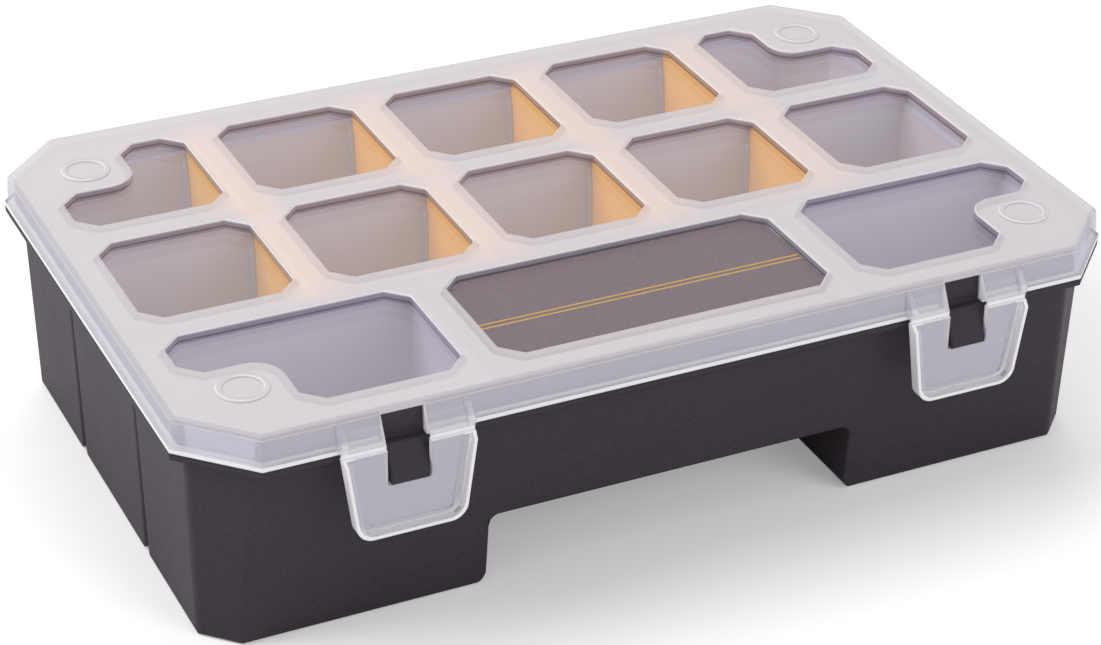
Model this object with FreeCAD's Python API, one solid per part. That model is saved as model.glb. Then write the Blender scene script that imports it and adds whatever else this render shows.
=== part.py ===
import FreeCAD, Part
import math
import os
from FreeCAD import Vector

os.makedirs("parts", exist_ok=True)

# Hinged-lid compartment case. Millimetres. +X runs along the front to the right, +Y from the front to
# the hinge, +Z up. The origin is the middle of the tray's underside.

# Lid moulding, measured over its lower lip.
lid_length = 230.0
lid_width = 150.0
case_height = 57.5
corner_cut = 15.0
skirt_height = 8.2
skirt_draft = 0.5
lid_wall = 1.4
lip_height = 1.1
lip_proud = 0.6
top_edge_radius = 1.4

# Lid grid: raised frame with sunk panes.
columns = 5
rows = 3
frame_rib = 8.7
border_side = 8.8
border_rear = 11.7
border_front = 9.8
pane_depth = 2.0
pane_cut = 4.5
pane_bevel = 0.35
row_shift = -1.05

# Stacking rings on the four lid corners. Each ring stands on a rounded pad that bites into the corner
# pane; the bite's place is a share of that pane's run.
bite_share_x = 0.443
bite_share_rear = 0.477
bite_share_front = 0.452
bite_radius = 7.0
ring_gap_x = 10.4
ring_gap_y = 9.7
ring_radius = 5.9
ring_width = 1.5
ring_height = 0.6
ring_bevel = 0.35

# Tray walls. The setbacks run from the lid's lip to the wall just under the flange.
wall_setback_x = 3.6
wall_setback_y = 4.8
wall_draft_x = 0.9
wall_draft_y = 5.0
tray_wall = 1.6
tray_floor = 1.6
tray_cut_top = 11.5
tray_cut_bottom = 7.5
tray_corner_radius = 3.0
tray_foot_radius = 1.1
tub_edge_radius = 1.0
tub_foot_radius = 3.6
pocket_foot_radius = 1.0
partition_top = 1.6
groove_width = 1.4
groove_height = 40.0

# Flange under the lid and the rim that stands up inside it.
flange_inset = 0.05
flange_thickness = 1.5
flange_gap = 0.2
rim_gap = 0.3

# Raised bridge at the middle of the front, with a finger recess below it.
bridge_rib_x = 45.0
recess_length = 91.2
recess_height = 19.0
recess_radius = 2.5

# Loose dividers and their guide ribs.
divider_thickness = 1.4
divider_top_gap = 2.9
divider_end_gap = 0.25
divider_slot_gap = 0.15
divider_radius = 3.0
guide_width = 1.2
guide_depth = 1.0
guide_drop = 1.5
guide_lead = 1.5

# Front latches: pad on the skirt, living hinge and flap.
latch_inset = 46.6
latch_width = 30.2
latch_toe_width = 24.6
latch_drop = 20.4
latch_plate = 1.5
latch_stand = 1.1
latch_toe_radius = 4.0
latch_rim_width = 1.5
latch_rim_height = 1.4
latch_rim_run = 1.7
latch_step_width = 1.3
latch_step_height = 0.4
latch_window = 10.0
latch_hook_drop = 9.0
latch_rib_width = 1.6
latch_rib_proud = 0.9
latch_rib_run = 1.7
web_height = 1.0
web_thickness = 0.5
web_drop = 0.1

# Catches on the tray that the latch flaps hook under.
catch_width = 8.6
catch_reach = 0.6
catch_tip = 0.9
catch_wall = 1.4
hook_gap = 0.2

# Rear snap hinge: pins on the lid in open sockets on the tray.
hinge_inset = 53.0
hinge_behind = 3.5
hinge_below = 0.7
pin_radius = 1.5
pin_gap = 0.05
ear_radius = 3.1
ear_width = 3.0
ear_drop = 8.0
arm_radius = 2.9
arm_width = 12.0
arm_side_gap = 0.3
arm_rise = 6.0
socket_mouth = 2.5

# Card on the front middle pane.
label_thickness = 0.25
label_margin = 0.6

# Heights and half sizes that follow.
half_x = lid_length / 2.0
half_y = lid_width / 2.0
lip_z = case_height - skirt_height
ceiling_z = case_height - lid_wall
pane_z = case_height - pane_depth
pane_under_z = pane_z - lid_wall
flange_top_z = lip_z - flange_gap
flange_z = flange_top_z - flange_thickness
rim_z = ceiling_z - rim_gap
bridge_floor_z = recess_height + tray_floor
latch_x = half_x - latch_inset
hinge_x = half_x - hinge_inset
cut_slope = 2.0 - math.sqrt(2.0)
over = 5.0
sink = 0.4


def lerp(a, b, t):
    return a + (b - a) * t


def wall_x(z):
    return half_x - wall_setback_x - wall_draft_x * (1.0 - z / flange_z)


def wall_y(z):
    return half_y - wall_setback_y - wall_draft_y * (1.0 - z / flange_z)


def wall_cut(z):
    return lerp(tray_cut_bottom, tray_cut_top, z / flange_z)


def inner_x(z):
    return wall_x(z) - tray_wall


def inner_y(z):
    return wall_y(z) - tray_wall


def inner_cut(z):
    return wall_cut(z) - cut_slope * tray_wall


# Half thickness of the walls between tubs, thin at the top and split by a groove at the foot.
def part_half(z):
    return lerp(groove_width / 2.0 + tray_wall, partition_top / 2.0, z / rim_z)


def groove_half(z):
    return groove_width / 2.0 * (1.0 - z / groove_height)


def bridge_half(z):
    return lerp(recess_length / 2.0 + tray_wall - bridge_rib_x, partition_top / 2.0, z / rim_z)


column_pitch = 2.0 * inner_x(flange_top_z) / columns
row_pitch = 2.0 * inner_y(flange_top_z) / rows
part_rear_y = row_shift + row_pitch / 2.0
part_front_y = row_shift - row_pitch / 2.0
divider_xs = [column_pitch * (i + 1 - columns / 2.0) for i in range(columns - 1)]


def polygon(points, z):
    ring = [Vector(x, y, z) for x, y in points]
    return Part.makePolygon(ring + [ring[0]])


def prism(points, z0, z1):
    return Part.Face(polygon(points, z0)).extrude(Vector(0, 0, z1 - z0))


# Solid with flat drafted sides between two outlines of the same corners, taken clockwise from above so
# that the skin faces outwards.
def drafted(low, high, z0, z1):
    count = len(low)
    turn = sum(low[i - 1][0] * low[i][1] - low[i][0] * low[i - 1][1] for i in range(count))
    if turn > 0.0:
        low, high = low[::-1], high[::-1]
    faces = [Part.Face(polygon(low, z0)), Part.Face(polygon(high, z1))]
    for i in range(count):
        j = (i + 1) % count
        ring = [Vector(*low[i], z0), Vector(*low[j], z0), Vector(*high[j], z1), Vector(*high[i], z1)]
        faces.append(Part.Face(Part.makePolygon(ring + [ring[0]])))
    skin = Part.Compound(faces)
    skin.sewShape()
    return Part.Solid(skin.Shells[0])


# Profile drawn in Y and Z, run along X.
def profile(points, x0, x1):
    ring = [Vector(x0, y, z) for y, z in points]
    face = Part.Face(Part.makePolygon(ring + [ring[0]]))
    return face.extrude(Vector(x1 - x0, 0, 0))


def rod(radius, x0, x1, y, z):
    return Part.makeCylinder(radius, x1 - x0, Vector(x0, y, z), Vector(1, 0, 0))


def merged(shapes):
    whole = shapes[0].fuse(shapes[1:])
    return whole.removeSplitter()


def octagon(hx, hy, cut):
    return [
        (hx - cut, -hy), (hx, -hy + cut), (hx, hy - cut), (hx - cut, hy),
        (-hx + cut, hy), (-hx, hy - cut), (-hx, -hy + cut), (-hx + cut, -hy),
    ]


def level_edges(solid, z):
    return [e for e in solid.Edges if abs(e.BoundBox.ZMin - z) < 1e-4 and abs(e.BoundBox.ZMax - z) < 1e-4]


def upright_edges(solid, corners):
    found = []
    for edge in solid.Edges:
        low, high = sorted((v.Point for v in edge.Vertexes), key=lambda p: p.z)
        if high.z - low.z < flange_z / 2.0:
            continue
        if any(abs(low.x - x) < 0.01 and abs(low.y - y) < 0.01 for x, y in corners):
            found.append(edge)
    return found


# What rounds off the foot of one drafted wall. It runs past both ends of the wall.
def foot_cutter(start, end, above, middle, radius):
    a = Vector(*start, 0.0)
    run = Vector(*end, 0.0) - a
    along = Vector(run).normalize()
    out = Vector(along.y, -along.x, 0.0)
    if out.dot(a - Vector(*middle, 0.0)) < 0.0:
        out = out * -1.0
    lean = out.dot(Vector(*above, 0.0) - a) / flange_z
    slant = math.sqrt(1.0 + lean ** 2)

    def at(u, z):
        return a - along * over + out * u + Vector(0, 0, z)

    u_mid = lean * radius - slant * radius
    u_wall = u_mid + radius / slant
    z_wall = radius - radius * lean / slant
    swing = Vector(1.0 / slant, -lean / slant - 1.0, 0.0).normalize()
    crown = at(u_mid + radius * swing.x, radius + radius * swing.y)
    path = [at(u_wall, z_wall), at(over, z_wall), at(over, -over), at(u_mid, -over), at(u_mid, 0.0)]
    edges = [Part.LineSegment(p, q).toShape() for p, q in zip(path, path[1:])]
    edges.append(Part.Arc(path[-1], crown, path[0]).toShape())
    return Part.Face(Part.Wire(edges)).extrude(run + along * (2.0 * over))


# One tub of the tray: drafted walls, rounded upright corners and a rounded foot. Each wall starts at
# the corner of the same number, and a foot radius of nothing leaves that wall's foot sharp.
def tub(outline_at, soft, tight, feet):
    low = outline_at(0.0)
    high = outline_at(flange_z)
    solid = drafted(low, high, 0.0, flange_z)
    solid = solid.makeFillet(tub_edge_radius, upright_edges(solid, [low[i] for i in tight]))
    if soft:
        solid = solid.makeFillet(tray_corner_radius, upright_edges(solid, [low[i] for i in soft]))
    count = len(low)
    middle = sum(x for x, y in low) / count, sum(y for x, y in low) / count
    cutters = [
        foot_cutter(low[i], low[(i + 1) % count], high[i], middle, radius)
        for i, radius in enumerate(feet) if radius > 0.0
    ]
    return solid.cut(cutters)


def rear_points(hx, hy, cut, y):
    return [(-hx, y), (hx, y), (hx, hy - cut), (hx - cut, hy), (-hx + cut, hy), (-hx, hy - cut)]


def middle_points(hx, y0, y1):
    return [(-hx, y0), (hx, y0), (hx, y1), (-hx, y1)]


# Front corner pocket on one side; side is -1 for the left and 1 for the right.
def pocket_points(side, hx, hy, cut, x_in, y):
    corner = [(side * hx, -hy + cut), (side * (hx - cut), -hy)]
    return [(side * x_in, y), (side * hx, y)] + corner + [(side * x_in, -hy)]


def make_tray():
    def rear_at(z):
        return rear_points(wall_x(z), wall_y(z), wall_cut(z), part_rear_y + groove_half(z))

    def middle_at(z):
        return middle_points(wall_x(z), part_front_y + groove_half(z), part_rear_y - groove_half(z))

    def pocket_at(side, z):
        back = part_front_y - groove_half(z)
        return pocket_points(side, wall_x(z), wall_y(z), wall_cut(z), recess_length / 2.0, back)

    deep = tub_foot_radius
    foot = tray_foot_radius
    solids = [
        tub(rear_at, [2, 3, 4, 5], [0, 1], [deep] + [foot] * 5),
        tub(middle_at, [], [0, 1, 2, 3], [deep, foot, deep, foot]),
    ]
    for side in (-1, 1):
        solids.append(tub(lambda z: pocket_at(side, z), [2, 3], [1], [deep, foot, foot, foot, deep]))

    # Bridge over the finger recess, flush with the front walls of the two pockets.
    def bridge_at(z):
        hx = recess_length / 2.0 + tray_wall
        return [(-hx, -wall_y(z)), (hx, -wall_y(z)), (hx, part_front_y), (-hx, part_front_y)]

    bridge = drafted(bridge_at(recess_height), bridge_at(flange_z), recess_height, flange_z)
    solids.append(bridge)

    # Flange and upstanding rim.
    flange_cut = corner_cut - cut_slope * flange_inset
    flange = octagon(half_x - flange_inset, half_y - flange_inset, flange_cut)
    solids.append(prism(flange, flange_z, flange_top_z))

    def rim_at(z, wall):
        inset = lip_proud + lid_wall + rim_gap + wall + skirt_draft * (z - lip_z) / skirt_height
        return half_x - inset, half_y - inset, corner_cut - cut_slope * inset

    rim_low = octagon(*rim_at(flange_top_z, 0.0))
    rim_high = octagon(*rim_at(rim_z, 0.0))
    solids.append(drafted(rim_low, rim_high, flange_top_z, rim_z))
    body = merged(solids)

    # Hollow of each row: drafted below the flange, stepped out to the rim above it.
    def hollow(low_at, high_at, floor):
        lower = drafted(low_at(floor), low_at(flange_top_z), floor, flange_top_z)
        lower = lower.makeFillet(pocket_foot_radius, level_edges(lower, floor))
        upper = drafted(high_at(flange_top_z), high_at(rim_z), flange_top_z, rim_z)
        lid_side = prism(high_at(rim_z), rim_z, rim_z + over)
        return lower.fuse([upper, lid_side])

    def rear_low(z):
        return rear_points(inner_x(z), inner_y(z), inner_cut(z), part_rear_y + part_half(z))

    def rear_high(z):
        hx, hy, cut = rim_at(z, tray_wall)
        return rear_points(hx, hy, cut, part_rear_y + part_half(z))

    def middle_low(z):
        return middle_points(inner_x(z), part_front_y + part_half(z), part_rear_y - part_half(z))

    def middle_high(z):
        return middle_points(rim_at(z, tray_wall)[0], part_front_y + part_half(z), part_rear_y - part_half(z))

    hollows = [hollow(rear_low, rear_high, tray_floor), hollow(middle_low, middle_high, tray_floor)]
    for side in (-1, 1):
        def pocket_low(z):
            x_in = bridge_rib_x + bridge_half(z)
            back = part_front_y - part_half(z)
            return pocket_points(side, inner_x(z), inner_y(z), inner_cut(z), x_in, back)

        def pocket_high(z):
            hx, hy, cut = rim_at(z, tray_wall)
            x_in = bridge_rib_x + bridge_half(z)
            return pocket_points(side, hx, hy, cut, x_in, part_front_y - part_half(z))

        hollows.append(hollow(pocket_low, pocket_high, tray_floor))

    def bridge_low(z):
        hx = bridge_rib_x - bridge_half(z)
        back = part_front_y - part_half(z)
        return [(-hx, -inner_y(z)), (hx, -inner_y(z)), (hx, back), (-hx, back)]

    def bridge_high(z):
        hx = bridge_rib_x - bridge_half(z)
        hy = rim_at(z, tray_wall)[1]
        back = part_front_y - part_half(z)
        return [(-hx, -hy), (hx, -hy), (hx, back), (-hx, back)]

    hollows.append(hollow(bridge_low, bridge_high, bridge_floor_z))
    body = body.cut(hollows)

    # Rounded upper corners of the finger recess.
    for side in (-1, 1):
        x = side * recess_length / 2.0
        back = part_front_y + groove_half(recess_height)
        front = -wall_y(recess_height)
        inner_x0 = x - side * recess_radius
        low = recess_height - recess_radius
        web = Part.makeBox(recess_radius, back - front, recess_radius, Vector(min(x, inner_x0), front, low))
        hole = Part.makeCylinder(
            recess_radius, back - front + 2 * over, Vector(inner_x0, front - over, low), Vector(0, 1, 0))
        solids = [body, web.cut(hole)]
        body = merged(solids)

    body = merged([body] + make_guides() + make_catches() + make_ears())
    for side in (-1, 1):
        for x0, x1 in ear_spans(side):
            body = body.cut(rod(pin_radius + pin_gap, x0 - over, x1 + over, hinge_y, hinge_z))
            mouth = Part.makeBox(
                x1 - x0, ear_radius + over, socket_mouth,
                Vector(x0, hinge_y, hinge_z - socket_mouth / 2.0))
            body = body.cut(mouth)
    return body.removeSplitter()


guide_top_z = flange_top_z - guide_drop


# Faces that carry guide ribs: a function of height, and the way the ribs stand out along Y.
def guide_faces():
    return [
        (lambda z: inner_y(z), -1.0),
        (lambda z: part_rear_y + part_half(z), 1.0),
        (lambda z: part_rear_y - part_half(z), -1.0),
        (lambda z: part_front_y + part_half(z), 1.0),
    ]


def make_guides():
    ribs = []
    step = divider_thickness / 2.0 + divider_slot_gap
    for face, way in guide_faces():
        low = tray_floor - sink
        shape = [
            (face(low) - way * sink, low),
            (face(low) + way * guide_depth, low),
            (face(guide_top_z - guide_lead) + way * guide_depth, guide_top_z - guide_lead),
            (face(guide_top_z), guide_top_z),
            (face(guide_top_z) - way * sink, guide_top_z),
        ]
        for x in divider_xs:
            ribs.append(profile(shape, x - step - guide_width, x - step))
            ribs.append(profile(shape, x + step, x + step + guide_width))
    return ribs


def make_divider(x, front, rear):
    z0 = tray_floor
    z1 = ceiling_z - divider_top_gap
    ease = pocket_foot_radius + divider_end_gap
    points = [
        (front(z0) + divider_end_gap + ease, z0),
        (rear(z0) - divider_end_gap - ease, z0),
        (rear(z0 + ease) - divider_end_gap, z0 + ease),
        (rear(z1) - divider_end_gap, z1),
        (front(z1) + divider_end_gap, z1),
        (front(z0 + ease) + divider_end_gap, z0 + ease),
    ]
    plate = profile(points, x - divider_thickness / 2.0, x + divider_thickness / 2.0)
    top = [e for e in plate.Edges if e.BoundBox.XLength > divider_thickness / 2.0]
    top = [e for e in top if abs(e.BoundBox.ZMin - z1) < 1e-4]
    return plate.makeFillet(divider_radius, top)


# Latch planes. The flap hangs below the living hinge, which lies in front of the lid's lip.
latch_y = -(half_y + latch_stand + latch_plate / 2.0)
flap_z = lip_z - web_drop
pad_z = flap_z + web_height
latch_z = flap_z + web_height / 2.0
hook_z = latch_z - latch_hook_drop
pad_top_z = case_height - top_edge_radius


def skirt_y(z):
    return half_y - lip_proud - skirt_draft * (z - lip_z) / skirt_height


def make_catches():
    catches = []
    front = -(half_y - flange_inset)
    tip = latch_y - latch_plate / 2.0 - catch_reach
    low = hook_z + hook_gap
    top = flange_z + sink
    outer = [
        (front, top),
        (tip, low + catch_tip),
        (tip, low),
        (-wall_y(low) + sink, low),
        (-wall_y(flange_z) + sink, top),
    ]
    roof = flange_z - catch_wall
    inner = [
        (-wall_y(roof), roof),
        (front + catch_wall, roof),
        (tip + catch_wall, low + catch_tip),
        (tip + catch_wall, low - over),
        (-wall_y(low - over), low - over),
    ]
    for side in (-1, 1):
        x0 = side * latch_x - catch_width / 2.0
        x1 = x0 + catch_width
        wedge = profile(outer, x0, x1)
        catches.append(wedge.cut(profile(inner, x0 + catch_wall, x1 - catch_wall)))
    return catches


# Rear hinge line.
hinge_y = half_y + hinge_behind
hinge_z = lip_z - hinge_below


def ear_spans(side):
    inner = arm_width / 2.0 + arm_side_gap
    x = side * hinge_x
    return [(x - inner - ear_width, x - inner), (x + inner, x + inner + ear_width)]


def make_ears():
    ears = []
    foot_z = hinge_z - ear_drop
    seat = wall_y(foot_z) - sink
    shoulder = math.sqrt(ear_radius ** 2 - (flange_top_z - hinge_z) ** 2)
    web = [
        (seat, foot_z),
        (hinge_y, hinge_z - ear_radius),
        (hinge_y, hinge_z),
        (hinge_y - shoulder, flange_top_z),
        (seat, flange_top_z),
    ]
    for side in (-1, 1):
        for x0, x1 in ear_spans(side):
            ears.append(profile(web, x0, x1))
            ears.append(rod(ear_radius, x0, x1, hinge_y, hinge_z))
    return ears


def make_arms():
    arms = []
    rest = lip_z + sink
    head = lip_z + arm_rise
    slope = math.sqrt(0.5) * arm_radius
    web = [
        (half_y - lip_proud - lid_wall / 2.0, rest),
        (hinge_y, rest),
        (hinge_y + slope, hinge_z + slope),
        (skirt_y(head) - lid_wall / 2.0, head),
    ]
    reach = arm_width / 2.0 + arm_side_gap + ear_width
    for side in (-1, 1):
        x = side * hinge_x
        arms.append(profile(web, x - arm_width / 2.0, x + arm_width / 2.0))
        arms.append(rod(arm_radius, x - arm_width / 2.0, x + arm_width / 2.0, hinge_y, hinge_z))
        arms.append(rod(pin_radius, x - reach, x + reach, hinge_y, hinge_z))
    return arms


# Outline of a pane with cut corners, grown outwards by grow.
def pane_outline(x0, x1, y0, y1, grow):
    cut = pane_cut + cut_slope * grow
    x0, x1, y0, y1 = x0 - grow, x1 + grow, y0 - grow, y1 + grow
    return [
        (x0 + cut, y0), (x1 - cut, y0), (x1, y0 + cut), (x1, y1 - cut),
        (x1 - cut, y1), (x0 + cut, y1), (x0, y1 - cut), (x0, y0 + cut),
    ]


def pane_face(x0, x1, y0, y1, grow, z):
    return Part.Face(polygon(pane_outline(x0, x1, y0, y1, grow), z))


# Edges of a corner pane as distances from the middle of the lid: inner and outer in X, then in Y.
def corner_run(sy):
    half = frame_rib / 2.0
    if sy > 0:
        return divider_xs[-1] + half, half_x - border_side, part_rear_y + half, half_y - border_rear
    return bridge_rib_x + half, half_x - border_side, half - part_front_y, half_y - border_front


# Inner corner of a ring pad. Front and rear pads lie in line, on the run of the rear corner panes.
def bite_corner(sy):
    x_in, x_out = corner_run(1)[:2]
    y_in, y_out = corner_run(sy)[2:]
    share = bite_share_rear if sy > 0 else bite_share_front
    return lerp(x_in, x_out, bite_share_x), lerp(y_in, y_out, share)


# Corner pane: the same outline with a rounded bite round the stacking ring; sx and sy give the lid corner.
def corner_pane_face(sx, sy, grow, z):
    bite_x, bite_y = (v + grow for v in bite_corner(sy))
    bend = bite_radius - grow
    cut = pane_cut + cut_slope * grow
    x_in, x_out, y_in, y_out = corner_run(sy)
    x_in, x_out, y_in, y_out = x_in - grow, x_out + grow, y_in - grow, y_out + grow

    def at(x, y):
        return Vector(sx * x, sy * y, z)

    path = [
        at(bite_x, bite_y + bend), at(bite_x, y_out - cut), at(bite_x - cut, y_out), at(x_in + cut, y_out),
        at(x_in, y_out - cut), at(x_in, y_in + cut), at(x_in + cut, y_in), at(x_out - cut, y_in),
        at(x_out, y_in + cut), at(x_out, bite_y - cut), at(x_out - cut, bite_y), at(bite_x + bend, bite_y),
    ]
    edges = [Part.LineSegment(a, b).toShape() for a, b in zip(path, path[1:])]
    turn = bend * (1.0 - math.sqrt(0.5))
    edges.append(Part.Arc(path[-1], at(bite_x + turn, bite_y + turn), path[0]).toShape())
    return Part.Face(Part.Wire(edges))


def pane_faces(grow, z):
    half = frame_rib / 2.0
    x_out = half_x - border_side
    y_rear = half_y - border_rear
    faces = []
    stops = [-x_out] + divider_xs + [x_out]
    for i in range(columns):
        x0 = stops[i] + (half if i > 0 else 0.0)
        x1 = stops[i + 1] - (half if i < columns - 1 else 0.0)
        faces.append(pane_face(x0, x1, part_front_y + half, part_rear_y - half, grow, z))
        if 0 < i < columns - 1:
            faces.append(pane_face(x0, x1, part_rear_y + half, y_rear, grow, z))
    for sx in (-1, 1):
        faces.append(corner_pane_face(sx, 1, grow, z))
        faces.append(corner_pane_face(sx, -1, grow, z))
    faces.append(label_face(grow, z))
    return faces


def label_face(grow, z):
    half = frame_rib / 2.0
    x = bridge_rib_x - half
    return pane_face(-x, x, border_front - half_y, part_front_y - half, grow, z)


def make_lid():
    lip = prism(octagon(half_x, half_y, corner_cut), lip_z, lip_z + lip_height)

    def skirt_at(z, wall):
        inset = lip_proud + wall + skirt_draft * (z - lip_z) / skirt_height
        return octagon(half_x - inset, half_y - inset, corner_cut - cut_slope * inset)

    skirt = drafted(skirt_at(lip_z, 0.0), skirt_at(case_height, 0.0), lip_z, case_height)
    skirt = skirt.makeFillet(top_edge_radius, level_edges(skirt, case_height))
    hollow = drafted(skirt_at(lip_z, lid_wall), skirt_at(ceiling_z, lid_wall), lip_z, ceiling_z)
    mouth = prism(skirt_at(lip_z, lid_wall), lip_z - over, lip_z)
    shell = merged([skirt, lip]).cut([hollow, mouth])

    # Sunk panes: a walled well below the frame, then the well's inside.
    rise = ceiling_z + lid_wall / 2.0 - pane_under_z
    wells = [f.extrude(Vector(0, 0, rise)) for f in pane_faces(lid_wall, pane_under_z)]
    shell = merged([shell] + wells)
    sunk = [f.extrude(Vector(0, 0, pane_depth)) for f in pane_faces(0.0, pane_z)]
    brims = zip(pane_faces(0.0, case_height - pane_bevel), pane_faces(pane_bevel, case_height))
    flared = [Part.makeLoft([low.OuterWire, high.OuterWire], True, True) for low, high in brims]
    shell = shell.cut(sunk + flared)

    # Stacking rings.
    rings = []
    for sx in (-1, 1):
        for sy in (-1, 1):
            x, y = bite_corner(sy)
            spot = Vector(sx * (x + ring_gap_x), sy * (y + ring_gap_y), case_height - sink)
            ring = Part.makeCylinder(ring_radius, ring_height + sink, spot)
            bead = ring.cut(Part.makeCylinder(ring_radius - ring_width, ring_height + sink, spot))
            rings.append(bead.makeChamfer(ring_bevel, level_edges(bead, case_height + ring_height)))

    # Latch pads: a wedge on the skirt between two tapered ribs.
    pads = []
    front = latch_y - web_thickness / 2.0
    root = -(half_y - lip_proud - lid_wall / 2.0)
    head = pad_top_z
    pad = [(root, pad_z), (front, pad_z), (-skirt_y(head), head), (-skirt_y(head) + lid_wall / 2.0, head)]
    fin = [
        (root, pad_z),
        (front, pad_z),
        (front - latch_rib_proud, pad_z + latch_rib_run),
        (-skirt_y(head), head),
        (-skirt_y(head) + lid_wall / 2.0, head),
    ]
    gaps = []
    for side in (-1, 1):
        x0 = side * latch_x - latch_width / 2.0
        x1 = x0 + latch_width
        pads.append(profile(pad, x0, x1))
        pads.append(profile(fin, x0, x0 + latch_rib_width))
        pads.append(profile(fin, x1 - latch_rib_width, x1))
        front_y = lid_wall - skirt_y(ceiling_z)
        gap = Part.makeBox(
            latch_window, 2.0 * over, ceiling_z - lip_z + over,
            Vector(side * latch_x - latch_window / 2.0, front_y - 2.0 * over, lip_z - over))
        gaps.append(gap)
    shell = merged([shell] + rings + pads + make_arms())
    return shell.cut(gaps).removeSplitter()


# Flap outline in X and Z about its own middle, drawn inwards by inset.
def flap_outline(inset):
    top = latch_width / 2.0 - inset
    toe = latch_toe_width / 2.0 - inset
    low = flap_z - latch_drop + inset
    return [(-top, flap_z), (-toe, low), (toe, low), (top, flap_z)]


def flap_solid(x, inset, y0, y1):
    ring = [Vector(x + u, y0, z) for u, z in flap_outline(inset)]
    solid = Part.Face(Part.makePolygon(ring + [ring[0]])).extrude(Vector(0, y1 - y0, 0))
    low = flap_z - latch_drop + inset
    toes = [e for e in level_edges(solid, low) if e.BoundBox.XLength < 1e-4]
    return solid.makeFillet(latch_toe_radius - inset, toes)


def make_latch(side):
    x = side * latch_x
    back = latch_y + latch_plate / 2.0
    face = latch_y - latch_plate / 2.0
    crest = face - latch_rim_height
    ledge = face - latch_step_height
    plate = flap_solid(x, 0.0, back, face)
    rim = flap_solid(x, 0.0, face, crest).cut(flap_solid(x, latch_rim_width, face, crest))
    step = flap_solid(x, latch_rim_width, face, ledge)
    step = step.cut(flap_solid(x, latch_rim_width + latch_step_width, face, ledge))
    flap = merged([plate, rim, step])
    # The border runs out to nothing at the hinge, so that the flap can swing up past the pad.
    ease = profile(
        [
            (face, flap_z),
            (crest - sink, flap_z - latch_rim_run),
            (crest - sink, flap_z + over),
            (face, flap_z + over),
        ],
        x - latch_width, x + latch_width)
    gap = Part.makeBox(
        latch_window, latch_plate + latch_rim_height + over, flap_z - hook_z + over,
        Vector(x - latch_window / 2.0, crest - over / 2.0, hook_z))
    return flap.cut([ease, gap]).removeSplitter()


def make_web(side, end):
    inner = latch_window / 2.0
    outer = latch_width / 2.0
    x0 = side * latch_x + (inner if end > 0 else -outer)
    return Part.makeBox(
        outer - inner, web_thickness, web_height,
        Vector(x0, latch_y - web_thickness / 2.0, flap_z))


nodes = {
    "base_tray": make_tray(),
    "lid": make_lid(),
    "left_latch": make_latch(-1),
    "right_latch": make_latch(1),
    "left_latch_web_left": make_web(-1, -1),
    "left_latch_web_right": make_web(-1, 1),
    "right_latch_web_left": make_web(1, -1),
    "right_latch_web_right": make_web(1, 1),
    "label": label_face(-label_margin, pane_z).extrude(Vector(0, 0, label_thickness)),
}
for number, x in enumerate(divider_xs, 1):
    nodes["divider_rear_%d" % number] = make_divider(x, lambda z: part_rear_y + part_half(z), inner_y)
    nodes["divider_middle_%d" % number] = make_divider(
        x, lambda z: part_front_y + part_half(z), lambda z: part_rear_y - part_half(z))

for name, shape in nodes.items():
    shape.exportStep("parts/%s.step" % name)
    box = shape.BoundBox
    print("%-24s valid %s solids %d faces %d volume %.0f  x %.2f..%.2f y %.2f..%.2f z %.2f..%.2f" % (
        name, shape.isValid(), len(shape.Solids), len(shape.Faces), shape.Volume,
        box.XMin, box.XMax, box.YMin, box.YMax, box.ZMin, box.ZMax))
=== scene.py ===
import bpy, bmesh, math
from mathutils import Matrix, Vector


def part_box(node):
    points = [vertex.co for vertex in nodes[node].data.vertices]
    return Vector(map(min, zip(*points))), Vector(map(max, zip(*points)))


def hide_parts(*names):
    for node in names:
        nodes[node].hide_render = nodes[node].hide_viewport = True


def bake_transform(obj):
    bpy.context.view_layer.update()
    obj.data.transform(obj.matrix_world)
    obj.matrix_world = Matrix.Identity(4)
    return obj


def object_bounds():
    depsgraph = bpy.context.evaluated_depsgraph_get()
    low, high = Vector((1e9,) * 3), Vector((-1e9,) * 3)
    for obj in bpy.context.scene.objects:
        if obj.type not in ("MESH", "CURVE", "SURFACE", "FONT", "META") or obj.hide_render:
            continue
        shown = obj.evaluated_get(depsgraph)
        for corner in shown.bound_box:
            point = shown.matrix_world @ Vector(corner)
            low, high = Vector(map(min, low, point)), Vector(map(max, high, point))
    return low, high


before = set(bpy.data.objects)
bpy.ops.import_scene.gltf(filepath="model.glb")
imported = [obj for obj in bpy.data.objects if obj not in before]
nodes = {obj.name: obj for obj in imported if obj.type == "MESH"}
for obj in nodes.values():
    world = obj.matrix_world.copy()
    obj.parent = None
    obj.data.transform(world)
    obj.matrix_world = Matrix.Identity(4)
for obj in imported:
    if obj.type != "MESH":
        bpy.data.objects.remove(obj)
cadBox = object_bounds()
scene = bpy.context.scene
print("frame loaded:", len(nodes), "nodes")


# small helpers for node trees
def linearColour(r, g, b):
    def one(v):
        v = v / 255
        return v / 12.92 if v <= 0.04045 else ((v + 0.055) / 1.055) ** 2.4
    return (one(r), one(g), one(b), 1.0)


def setSocket(tree, socket, value):
    if isinstance(value, bpy.types.NodeSocket):
        tree.links.new(value, socket)
    else:
        socket.default_value = value


def addNode(tree, kind, values=None, **settings):
    node = tree.nodes.new(kind)
    for key, value in settings.items():
        setattr(node, key, value)
    for key, value in (values or {}).items():
        setSocket(tree, node.inputs[key], value)
    return node


def mathNode(tree, operation, a, b=0.0, clamp=False):
    node = addNode(tree, "ShaderNodeMath", {0: a, 1: b}, operation=operation)
    node.use_clamp = clamp
    return node.outputs[0]


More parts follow.
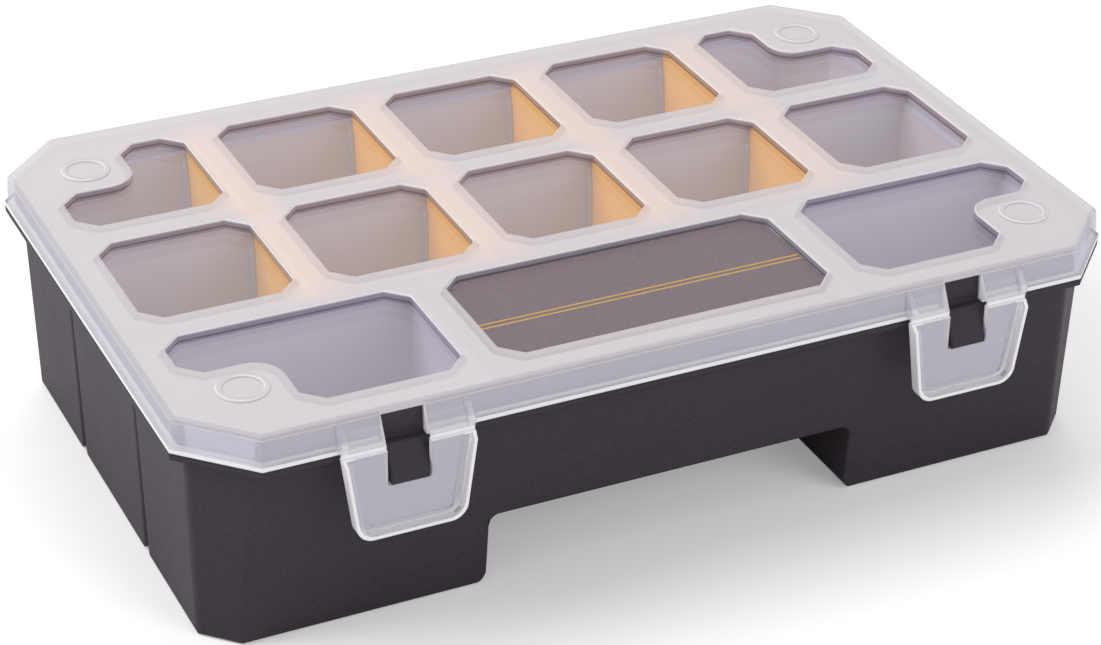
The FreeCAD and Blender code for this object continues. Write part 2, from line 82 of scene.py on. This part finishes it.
def mixNode(tree, kind, factor, a, b):
    node = addNode(tree, "ShaderNodeMix", data_type=kind)
    shown = {socket.name: socket for socket in node.inputs if socket.enabled}
    for key, value in (("Factor", factor), ("A", a), ("B", b)):
        setSocket(tree, shown[key], value)
    return [socket for socket in node.outputs if socket.enabled][0]


def mixColour(tree, factor, a, b):
    return mixNode(tree, "RGBA", factor, a, b)


def mixValue(tree, factor, a, b):
    return mixNode(tree, "FLOAT", factor, a, b)


# masks: all of them, any of them, the rest, under or over a level, distance from a level
def both(tree, first, *others):
    for mask in others:
        first = mathNode(tree, "MULTIPLY", first, mask)
    return first


def either(tree, first, *others):
    for mask in others:
        first = mathNode(tree, "MAXIMUM", first, mask)
    return first


def without(tree, mask):
    return mathNode(tree, "SUBTRACT", 1.0, mask)


def under(tree, value, level):
    return mathNode(tree, "LESS_THAN", value, level)


def over(tree, value, level):
    return mathNode(tree, "GREATER_THAN", value, level)


def distance(tree, value, level):
    return mathNode(tree, "ABSOLUTE", mathNode(tree, "SUBTRACT", value, level))


# value times slope plus start
def sloped(tree, value, slope, start):
    return mathNode(tree, "ADD", mathNode(tree, "MULTIPLY", value, slope), start)


def useGroup(tree, group, values=None):
    return addNode(tree, "ShaderNodeGroup", values, node_tree=group).outputs


def newGroup(name, inputs, outputs):
    tree = bpy.data.node_groups.new(name, "ShaderNodeTree")
    for label, kind, default in inputs:
        socket = tree.interface.new_socket(label, in_out="INPUT", socket_type=kind)
        if default is not None:
            socket.default_value = default
    for label, kind in outputs:
        tree.interface.new_socket(label, in_out="OUTPUT", socket_type=kind)
    return tree, tree.nodes.new("NodeGroupInput").outputs, tree.nodes.new("NodeGroupOutput").inputs


# 1 between two levels of a value, with soft ends
def makeBand():
    tree, given, out = newGroup(
        "levelBand",
        [("Value", "NodeSocketFloat", 0.0), ("Low", "NodeSocketFloat", 0.0),
         ("High", "NodeSocketFloat", 1.0), ("Soft", "NodeSocketFloat", 0.0001)],
        [("Mask", "NodeSocketFloat")])
    rise = mathNode(tree, "DIVIDE", mathNode(tree, "SUBTRACT", given["Value"], given["Low"]), given["Soft"])
    fall = mathNode(tree, "DIVIDE", mathNode(tree, "SUBTRACT", given["High"], given["Value"]), given["Soft"])
    up = mathNode(tree, "ADD", rise, 0.5, True)
    down = mathNode(tree, "ADD", fall, 0.5, True)
    tree.links.new(both(tree, up, down), out["Mask"])
    return tree


# moulded surface: fine grain, faint flow streaks and handling marks
skinLook = {"grainDetail": 3.0, "grainBreak": 0.6, "cloud": 45.0, "cloudDetail": 4.0, "cloudShare": 0.6,
            "streak": (30.0, 420.0, 420.0), "streakDetail": 2.0, "grainShare": 0.7, "contrast": 2.6}


def makeMouldedSkin():
    tree, given, out = newGroup(
        "mouldedSkin",
        [("Vector", "NodeSocketVector", None), ("Grain", "NodeSocketFloat", 2600.0),
         ("Rough", "NodeSocketFloat", 0.5), ("Spread", "NodeSocketFloat", 0.08)],
        [("Height", "NodeSocketFloat"), ("Roughness", "NodeSocketFloat"), ("Tone", "NodeSocketFloat")])
    place = given["Vector"]
    grain = addNode(tree, "ShaderNodeTexNoise", {
        "Vector": place, "Scale": given["Grain"], "Detail": skinLook["grainDetail"],
        "Roughness": skinLook["grainBreak"]}).outputs[0]
    cloud = addNode(tree, "ShaderNodeTexNoise", {
        "Vector": place, "Scale": skinLook["cloud"], "Detail": skinLook["cloudDetail"]}).outputs[0]
    stretch = addNode(tree, "ShaderNodeMapping", {"Vector": place, "Scale": skinLook["streak"]}).outputs[0]
    streak = addNode(tree, "ShaderNodeTexNoise", {
        "Vector": stretch, "Scale": 1.0, "Detail": skinLook["streakDetail"]}).outputs[0]
    wear = mathNode(tree, "ADD", mathNode(tree, "MULTIPLY", cloud, skinLook["cloudShare"]),
                    mathNode(tree, "MULTIPLY", streak, 1 - skinLook["cloudShare"]))
    offset = mathNode(tree, "MULTIPLY", mathNode(tree, "SUBTRACT", wear, 0.5), given["Spread"])
    speck = mathNode(tree, "MULTIPLY", mathNode(tree, "SUBTRACT", grain, 0.5), given["Spread"])
    rough = mathNode(tree, "ADD", given["Rough"], mathNode(tree, "ADD", offset, speck))
    blended = mixValue(tree, skinLook["grainShare"], wear, grain)
    strong = mathNode(tree, "MULTIPLY", mathNode(tree, "SUBTRACT", blended, 0.5), skinLook["contrast"])
    tree.links.new(grain, out["Height"])
    tree.links.new(rough, out["Roughness"])
    tree.links.new(mathNode(tree, "ADD", strong, 0.5, True), out["Tone"])
    return tree


# where a point lies on its own piece and how it faces, so masks hold in every pose
def makeWhere():
    tree, given, out = newGroup(
        "pieceWhere", [],
        [("Place", "NodeSocketVector"), ("X", "NodeSocketFloat"), ("Y", "NodeSocketFloat"),
         ("Z", "NodeSocketFloat"), ("Side", "NodeSocketFloat"), ("Depth", "NodeSocketFloat"),
         ("Level", "NodeSocketFloat"), ("AcrossX", "NodeSocketFloat")])
    coords = addNode(tree, "ShaderNodeTexCoord").outputs
    place = addNode(tree, "ShaderNodeSeparateXYZ", {0: coords["Object"]}).outputs
    normal = addNode(tree, "ShaderNodeSeparateXYZ", {0: coords["Normal"]}).outputs
    tree.links.new(coords["Object"], out["Place"])
    for axis in "XYZ":
        tree.links.new(place[axis], out[axis])
    for label, value in (("Side", place["X"]), ("Depth", place["Y"]),
                         ("Level", normal["Z"]), ("AcrossX", normal["X"])):
        tree.links.new(mathNode(tree, "ABSOLUTE", value), out[label])
    return tree


levelBand = makeBand()
mouldedSkin = makeMouldedSkin()
pieceWhere = makeWhere()
farBelow = -1.0  # a band's low end where only its high end counts
print("node groups made")


def band(tree, value, low, high, soft=0.0001):
    return useGroup(tree, levelBand, {"Value": value, "Low": low, "High": high, "Soft": soft})[0]


# every look gives grain, rough, spread, and its bump's strength, depth and edge rounding
def newMaterial(name, look, fixed):
    material = bpy.data.materials.new(name)
    material.use_nodes = True
    tree = material.node_tree
    shader = tree.nodes["Principled BSDF"]
    for key, value in fixed.items():
        shader.inputs[key].default_value = value
    where = useGroup(tree, pieceWhere)
    skin = useGroup(tree, mouldedSkin, {"Vector": where["Place"], "Grain": look["grain"],
                                        "Rough": look["rough"], "Spread": look["spread"]})
    return material, tree, shader, where, skin


# surface bump over edges that catch light as moulded rounds do
def addBump(tree, shader, look, height):
    soft = addNode(tree, "ShaderNodeBevel", {"Radius": look["edge"]}, samples=6)
    bump = addNode(tree, "ShaderNodeBump", {"Strength": look["bump"], "Distance": look["bumpDepth"],
                                            "Height": height, "Normal": soft.outputs[0]})
    tree.links.new(bump.outputs[0], shader.inputs["Normal"])


# light passes through thin plastic more freely than it shows
def linkAlpha(tree, shader, look, alpha):
    path = addNode(tree, "ShaderNodeLightPath").outputs
    lighting = either(tree, path["Is Shadow Ray"], path["Is Diffuse Ray"])
    passed = without(tree, mathNode(tree, "MULTIPLY", lighting, look["letThrough"]))
    tree.links.new(both(tree, alpha, passed), shader.inputs["Alpha"])


# tray: charcoal plastic with a fine matt grain, and a pale painted haze on inner faces seen through the lid
trayLook = {"colour": linearColour(46, 39, 47), "pale": linearColour(61, 52, 62),
            # the pale third tone is painted haze for inner faces seen through the lid
            "paintedHaze": linearColour(192, 186, 210),
            "grain": 1250.0, "rough": 0.54, "spread": 0.22, "bump": 0.35, "bumpDepth": 0.0002, "edge": 0.0014,
            "ior": 1.46, "specular": 0.32,
            "wallX": 0.1097, "slopeX": 0.0183, "wallY": 0.0644, "slopeY": 0.1018,  # middle of drafted walls
            "rimX": 0.1113, "rimY": 0.0713, "flangeZ": 0.0486, "rimTopZ": 0.0553, "rimSoft": 0.001}


def makeTrayMaterial():
    look = trayLook
    material, tree, shader, where, skin = newMaterial(
        "trayPlastic", look, {"IOR": look["ior"], "Specular IOR Level": look["specular"]})
    colour = mixColour(tree, skin["Tone"], look["colour"], look["pale"])
    # painted haze: inner faces seen through the lid turn pale, a colour standing in for light scattered by
    # the frosted lid
    behind = addNode(tree, "ShaderNodeLightPath").outputs["Transparent Depth"]
    wallX = sloped(tree, where["Z"], look["slopeX"], look["wallX"])
    wallY = sloped(tree, where["Z"], look["slopeY"], look["wallY"])
    tubs = both(tree, under(tree, where["Side"], wallX), under(tree, where["Depth"], wallY))
    rim = both(tree, under(tree, where["Side"], look["rimX"]), under(tree, where["Depth"], look["rimY"]))
    inner = mixValue(tree, over(tree, where["Z"], look["flangeZ"]), tubs, rim)
    inner = both(tree, inner, band(tree, where["Z"], farBelow, look["rimTopZ"], look["rimSoft"]))
    paintedHaze = both(tree, inner, over(tree, behind, 0.5))
    tree.links.new(mixColour(tree, paintedHaze, colour, look["paintedHaze"]), shader.inputs["Base Color"])
    tree.links.new(skin["Roughness"], shader.inputs["Roughness"])
    addBump(tree, shader, look, skin["Height"])
    return material


# lid: frosted frame and skirt, clear panes, whiter thin edges, painted highlights on the bevels, painted
# shade where panes meet their walls and painted light from the dividers on the ribs
lidLook = {"frame": linearColour(216, 209, 212), "skirt": linearColour(205, 201, 214),
           "pane": linearColour(207, 197, 193), "recess": linearColour(184, 174, 186),
           # the dark tone on the next line is painted shade along the bottom of the recess walls, where they
           # meet the panes
           "creaseShade": linearColour(96, 87, 96), "edgeTone": linearColour(184, 179, 191),
           # the peach tone on the next line is painted light from the dividers, laid on the ribs above them
           "white": linearColour(246, 246, 248), "paintedRibGlow": linearColour(250, 220, 200),
           "frameAlpha": 0.72, "skirtAlpha": 0.52, "paneAlpha": 0.19, "wallAlpha": 0.55, "whiteAlpha": 0.9,
           "grain": 2400.0, "rough": 0.42, "spread": 0.16, "bump": 0.12, "bumpDepth": 0.0001, "edge": 0.0006,
           "paneRough": 0.14, "letThrough": 0.95, "cloudy": 0.12,
           "ior": 1.5, "paneCoatIor": 2.7, "paneCoatRough": 0.02,
           "insideX": 0.110, "insideY": 0.070, "insideCut": 0.168,  # field of the panes, with cut corners
           "paneLowZ": 0.0538, "paneHighZ": 0.0557, "footZ": 0.0560, "wallHighZ": 0.0572,
           "topZ": 0.0560, "bevelZ": 0.0562, "bevelLevel": (0.2, 0.95), "bevelSoft": 0.05, "lipZ": 0.05035,
           "latchX": 0.0684, "windowHalf": 0.0062, "padHalf": 0.0152,
           "frontY": -0.0735, "padY": -0.0749, "finY": -0.0772,
           # the first two are shares of painted highlight on the bevels, outside and round the panes
           "outerBevelHighlight": 0.25, "innerBevelHighlight": 0.7, "whiteFin": 0.5, "whitePad": 0.12,
           # where the painted peach light from the dividers lies on the ribs, and how strongly
           "dividerPitch": 0.04393, "warmHalf": 0.115, "warmSoft": 0.11, "warmShare": 0.42,
           "warmY": (-0.0235, 0.064), "warmX": 0.082, "warmSoftY": 0.01, "warmSoftX": 0.02}


def makeLidMaterial():
    look = lidLook
    material, tree, shader, where, skin = newMaterial(
        "lidPlastic", look,
        {"IOR": look["ior"], "Coat IOR": look["paneCoatIor"], "Coat Roughness": look["paneCoatRough"]})

    flat = over(tree, where["Level"], 0.5)
    steep = without(tree, flat)
    toCorner = mathNode(tree, "ADD", where["Side"], where["Depth"])
    inside = both(tree, under(tree, where["Side"], look["insideX"]),
                  under(tree, where["Depth"], look["insideY"]), under(tree, toCorner, look["insideCut"]))
    pane = both(tree, band(tree, where["Z"], look["paneLowZ"], look["paneHighZ"]), flat, inside)
    wall = both(tree, band(tree, where["Z"], look["paneLowZ"], look["wallHighZ"]), steep, inside)
    # painted shade: a dark line along the bottom of each recess wall, where it meets the pane
    creaseShade = both(tree, wall, under(tree, where["Z"], look["footZ"]))
    clear = either(tree, pane, wall)
    top = over(tree, where["Z"], look["topZ"])
    bevel = both(tree, band(tree, where["Level"], *look["bevelLevel"], look["bevelSoft"]),
                 over(tree, where["Z"], look["bevelZ"]))
    outer = both(tree, bevel, without(tree, inside))
    lip = both(tree, under(tree, where["Z"], look["lipZ"]), without(tree, inside))
    fromLatch = distance(tree, where["Side"], look["latchX"])
    jamb = both(tree, over(tree, where["AcrossX"], 0.8), under(tree, where["Y"], look["frontY"]),
                under(tree, fromLatch, look["windowHalf"]))
    pad = both(tree, under(tree, fromLatch, look["padHalf"]), under(tree, where["Y"], look["padY"]))
    fin = both(tree, pad, under(tree, where["Y"], look["finY"]))
    # painted highlight: bevels turn whiter, most round the panes, in place of light caught by their rounds
    bevelHighlight = mixValue(tree, inside, look["outerBevelHighlight"], look["innerBevelHighlight"])
    white = either(tree, lip, jamb, both(tree, bevel, bevelHighlight), both(tree, fin, look["whiteFin"]),
                   both(tree, pad, look["whitePad"]))

    # painted light: frosted ribs over the dividers get a peach tint standing in for orange light sent up by
    # the dividers
    cell = mathNode(tree, "ADD", mathNode(tree, "DIVIDE", where["X"], look["dividerPitch"]), 0.5)
    cell = mathNode(tree, "FRACT", mathNode(tree, "ADD", cell, 8.0))  # whole cells added, so it stays above 0
    fromDivider = mathNode(tree, "SUBTRACT", 0.5, distance(tree, cell, 0.5))
    overDivider = band(tree, fromDivider, farBelow, look["warmHalf"], look["warmSoft"])
    rows = both(tree, band(tree, where["Y"], *look["warmY"], look["warmSoftY"]),
                band(tree, where["Side"], farBelow, look["warmX"], look["warmSoftX"]))
    paintedRibGlow = both(tree, overDivider, rows, top, look["warmShare"])

    alpha = mixValue(tree, both(tree, top, without(tree, outer)), look["skirtAlpha"], look["frameAlpha"])
    for mask, shown in ((wall, "wallAlpha"), (pane, "paneAlpha"), (white, "whiteAlpha")):
        alpha = mixValue(tree, mask, alpha, look[shown])
    linkAlpha(tree, shader, look, alpha)

    # each tone over the ones before it: painted light from the dividers on the ribs, painted shade as a dark
    # line where pane and wall meet, and white for thin edges and painted bevel highlights
    colour = mixColour(tree, top, look["skirt"], look["frame"])
    for mask, tone in ((outer, "edgeTone"), (paintedRibGlow, "paintedRibGlow"), (pane, "pane"), (wall, "recess"),
                       (creaseShade, "creaseShade"), (white, "white")):
        colour = mixColour(tree, mask, colour, look[tone])
    cloudy = mathNode(tree, "MULTIPLY", skin["Tone"], look["cloudy"])
    tree.links.new(mixColour(tree, cloudy, colour, look["white"]), shader.inputs["Base Color"])
    tree.links.new(mixValue(tree, clear, skin["Roughness"], look["paneRough"]), shader.inputs["Roughness"])
    tree.links.new(pane, shader.inputs["Coat Weight"])
    addBump(tree, shader, look, both(tree, skin["Height"], without(tree, clear)))
    return material


# latch flaps: the lid's plastic, a thinner plate with a whiter outline
latchLook = {"plate": linearColour(207, 204, 216), "white": linearColour(248, 248, 250),
             "plateAlpha": 0.56, "whiteAlpha": 0.92, "letThrough": 0.6, "cloudy": 0.12, "ior": 1.5,
             "grain": 2400.0, "rough": 0.34, "spread": 0.16, "bump": 0.1, "bumpDepth": 0.0001, "edge": 0.0004,
             "toeZ": 0.0288, "toeHalf": 0.0123, "taper": 0.137, "toeRadius": 0.004,
             "rimLine": 0.0008, "rimSoft": 0.0002, "hingeZ": 0.0490}


def makeLatchMaterial():
    look = latchLook
    material, tree, shader, where, skin = newMaterial("latchPlastic", look, {"IOR": look["ior"]})
    # distance in from the flap's rounded outline
    radius = look["toeRadius"]
    rise = mathNode(tree, "SUBTRACT", where["Z"], look["toeZ"])
    fromLatch = distance(tree, where["Side"], lidLook["latchX"])
    half = sloped(tree, rise, look["taper"], look["toeHalf"])
    across = mathNode(tree, "SUBTRACT", radius, mathNode(tree, "SUBTRACT", half, fromLatch))
    across = mathNode(tree, "MAXIMUM", across, 0.0)
    down = mathNode(tree, "MAXIMUM", mathNode(tree, "SUBTRACT", radius, rise), 0.0)
    corner = mathNode(tree, "ADD", both(tree, across, across), both(tree, down, down))
    inward = mathNode(tree, "SUBTRACT", radius, mathNode(tree, "SQRT", corner))
    rim = band(tree, inward, farBelow, look["rimLine"], look["rimSoft"])
    edge = either(tree, over(tree, where["AcrossX"], 0.9), over(tree, where["Level"], 0.9))
    white = either(tree, rim, edge, over(tree, where["Z"], look["hingeZ"]))
    linkAlpha(tree, shader, look, mixValue(tree, white, look["plateAlpha"], look["whiteAlpha"]))
    colour = mixColour(tree, white, look["plate"], look["white"])
    cloudy = mathNode(tree, "MULTIPLY", skin["Tone"], look["cloudy"])
    tree.links.new(mixColour(tree, cloudy, colour, look["white"]), shader.inputs["Base Color"])
    tree.links.new(skin["Roughness"], shader.inputs["Roughness"])
    addBump(tree, shader, look, skin["Height"])
    return material


# dividers: satin orange-yellow plates, with a faint painted emission standing in for the light that thin
# plates let through
dividerLook = {"colour": linearColour(248, 171, 10), "pale": linearColour(250, 185, 30),
               "paintedGlowStrength": 0.13, "ior": 1.48, "grain": 1500.0, "rough": 0.38, "spread": 0.2,
               "bump": 0.15, "bumpDepth": 0.0001, "edge": 0.0004}


def makeDividerMaterial():
    look = dividerLook
    material, tree, shader, where, skin = newMaterial(
        "dividerPlastic", look, {"IOR": look["ior"], "Emission Strength": look["paintedGlowStrength"]})
    colour = mixColour(tree, skin["Tone"], look["colour"], look["pale"])
    tree.links.new(colour, shader.inputs["Base Color"])
    # painted light: the plates emit their own colour
    tree.links.new(colour, shader.inputs["Emission Color"])
    tree.links.new(skin["Roughness"], shader.inputs["Roughness"])
    addBump(tree, shader, look, skin["Height"])
    return material


# card: dark printed ground with a plain double rule line
cardLook = {"ground": linearColour(108, 96, 102), "pale": linearColour(126, 113, 119),
            "rule": linearColour(206, 160, 70), "ior": 1.45, "specular": 0.35,
            "grain": 900.0, "rough": 0.45, "spread": 0.2, "bump": 0.1, "bumpDepth": 0.00005, "edge": 0.0001,
            "ruleY": -0.0492, "ruleGap": 0.0016, "ruleWidth": 0.0005, "ruleSoft": 0.00012}


def makeCardMaterial():
    look = cardLook
    material, tree, shader, where, skin = newMaterial(
        "printedCard", look, {"IOR": look["ior"], "Specular IOR Level": look["specular"]})
    ground = mixColour(tree, skin["Tone"], look["ground"], look["pale"])
    half = look["ruleGap"] / 2
    rule = band(tree, distance(tree, where["Y"], look["ruleY"]),
                half - look["ruleWidth"] / 2, half + look["ruleWidth"] / 2, look["ruleSoft"])
    tree.links.new(mixColour(tree, rule, ground, look["rule"]), shader.inputs["Base Color"])
    tree.links.new(skin["Roughness"], shader.inputs["Roughness"])
    addBump(tree, shader, look, skin["Height"])
    return material


looks = {"base_tray": makeTrayMaterial(), "lid": makeLidMaterial(), "label": makeCardMaterial()}
latchMaterial = makeLatchMaterial()
dividerMaterial = makeDividerMaterial()
for name, node in nodes.items():
    if name in looks:
        material = looks[name]
    elif name.startswith("divider"):
        material = dividerMaterial
    else:
        material = latchMaterial
    node.data.materials.clear()
    node.data.materials.append(material)
print("materials set on", len(nodes), "nodes")


# living hinge strips between lid and flap, waisted in the middle, in place of the CAD webs
hingeStrip = {"rows": 7, "columns": 10, "waist": 0.72}


def makeStrip(cadName):
    low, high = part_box(cadName)
    mesh = bpy.data.meshes.new(cadName + "_strip")
    bm = bmesh.new()
    middleY = (low.y + high.y) / 2
    rings = []
    for row in range(hingeStrip["rows"]):
        t = row / (hingeStrip["rows"] - 1)
        z = high.z + (low.z - high.z) * t
        thin = 1 - (1 - hingeStrip["waist"]) * math.sin(math.pi * t)
        half = (high.y - low.y) / 2 * thin
        front, back = [], []
        for column in range(hingeStrip["columns"] + 1):
            x = low.x + (high.x - low.x) * column / hingeStrip["columns"]
            front.append(bm.verts.new((x, middleY - half, z)))
            back.append(bm.verts.new((x, middleY + half, z)))
        rings.append(front + back[::-1])
    count = len(rings[0])
    for upper, lower in zip(rings, rings[1:]):
        for k in range(count):
            bm.faces.new((upper[k], upper[(k + 1) % count], lower[(k + 1) % count], lower[k]))
    bm.faces.new(rings[0][::-1])
    bm.faces.new(rings[-1])
    bmesh.ops.recalc_face_normals(bm, faces=bm.faces)
    for face in bm.faces:
        face.smooth = True
    bm.to_mesh(mesh)
    bm.free()
    strip = bpy.data.objects.new(cadName + "_strip", mesh)
    scene.collection.objects.link(strip)
    mesh.materials.append(latchMaterial)
    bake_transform(strip)
    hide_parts(cadName)


for side in ("left", "right"):
    for end in ("left", "right"):
        makeStrip(side + "_latch_web_" + end)
print("hinge strips made")


# pale floor, lifted to white for the camera alone
floorLook = {"size": 6.0, "gap": 0.00005, "colour": linearColour(248, 248, 248), "rough": 0.9, "lift": 0.25}


def makeFloor():
    mesh = bpy.data.meshes.new("floor")
    bm = bmesh.new()
    bmesh.ops.create_grid(bm, x_segments=4, y_segments=4, size=floorLook["size"] / 2)
    bm.to_mesh(mesh)
    bm.free()
    floor = bpy.data.objects.new("floor", mesh)
    scene.collection.objects.link(floor)
    floor.location.z = cadBox[0][2] - floorLook["gap"]
    material = bpy.data.materials.new("floorPaper")
    material.use_nodes = True
    tree = material.node_tree
    shader = tree.nodes["Principled BSDF"]
    shader.inputs["Base Color"].default_value = floorLook["colour"]
    shader.inputs["Roughness"].default_value = floorLook["rough"]
    shader.inputs["Emission Strength"].default_value = floorLook["lift"]
    seen = addNode(tree, "ShaderNodeLightPath").outputs["Is Camera Ray"]
    tree.links.new(seen, shader.inputs["Emission Color"])
    mesh.materials.append(material)


makeFloor()
print("floor laid")


# soft studio light, aimed at the middle of the box
studio = {"world": 0.42, "mirrored": 1.0, "shown": 1.0, "aim": (0, 0, 0.03),
          "lamps": [{"name": "keyLamp", "place": (-1.0, 0.3, 0.95), "size": 0.9, "power": 11.0},
                    {"name": "fillLamp", "place": (0.6, -1.2, 0.55), "size": 1.0, "power": 6.5},
                    {"name": "backLamp", "place": (0.3, 0.8, 1.2), "size": 1.0, "power": 5.0}]}


def makeStudio():
    world = bpy.data.worlds.new("studio")
    scene.world = world
    world.use_nodes = True
    tree = world.node_tree
    back = tree.nodes["Background"]
    back.inputs["Color"].default_value = (1, 1, 1, 1)
    path = addNode(tree, "ShaderNodeLightPath").outputs
    lit = mixValue(tree, path["Is Glossy Ray"], studio["world"], studio["mirrored"])
    seen = mixValue(tree, path["Is Camera Ray"], lit, studio["shown"])
    tree.links.new(seen, back.inputs["Strength"])
    for lamp in studio["lamps"]:
        light = bpy.data.lights.new(lamp["name"], "AREA")
        light.shape = "DISK"
        light.size = lamp["size"]
        light.energy = lamp["power"]
        shown = bpy.data.objects.new(lamp["name"], light)
        scene.collection.objects.link(shown)
        shown.location = lamp["place"]
        shown.visible_glossy = False
        aim = Vector(studio["aim"]) - Vector(lamp["place"])
        shown.rotation_euler = aim.to_track_quat("-Z", "Y").to_euler()


makeStudio()
print("lamps set:", len(studio["lamps"]))


# camera at the photograph's view, focal length and centre in pixels of its frame
shot = {"eye": (-0.26864, -0.56425, 0.38531), "forward": (0.3783, 0.7764, -0.5041),
        "right": (0.9027, -0.4301, 0.0150), "focal": 2991.16, "centre": (571.11, 326.10),
        "frame": (1101, 645), "sensor": 36.0, "near": 0.01}


def makeCamera():
    camera = bpy.data.objects.new("camera", bpy.data.cameras.new("camera"))
    scene.collection.objects.link(camera)
    back = -Vector(shot["forward"]).normalized()
    right = Vector(shot["right"])
    right = (right - right.dot(back) * back).normalized()
    up = back.cross(right)
    turn = Matrix((right, up, back)).transposed().to_4x4()
    camera.matrix_world = Matrix.Translation(shot["eye"]) @ turn
    lens = camera.data
    wide, high = shot["frame"]
    lens.sensor_fit = "HORIZONTAL"
    lens.sensor_width = shot["sensor"]
    lens.lens = shot["focal"] * lens.sensor_width / wide
    lens.shift_x = (wide / 2 - shot["centre"][0]) / wide
    lens.shift_y = (shot["centre"][1] - high / 2) / wide
    lens.clip_start = shot["near"]
    scene.camera = camera


makeCamera()
scene.view_settings.view_transform = "Standard"
print("scene ready")
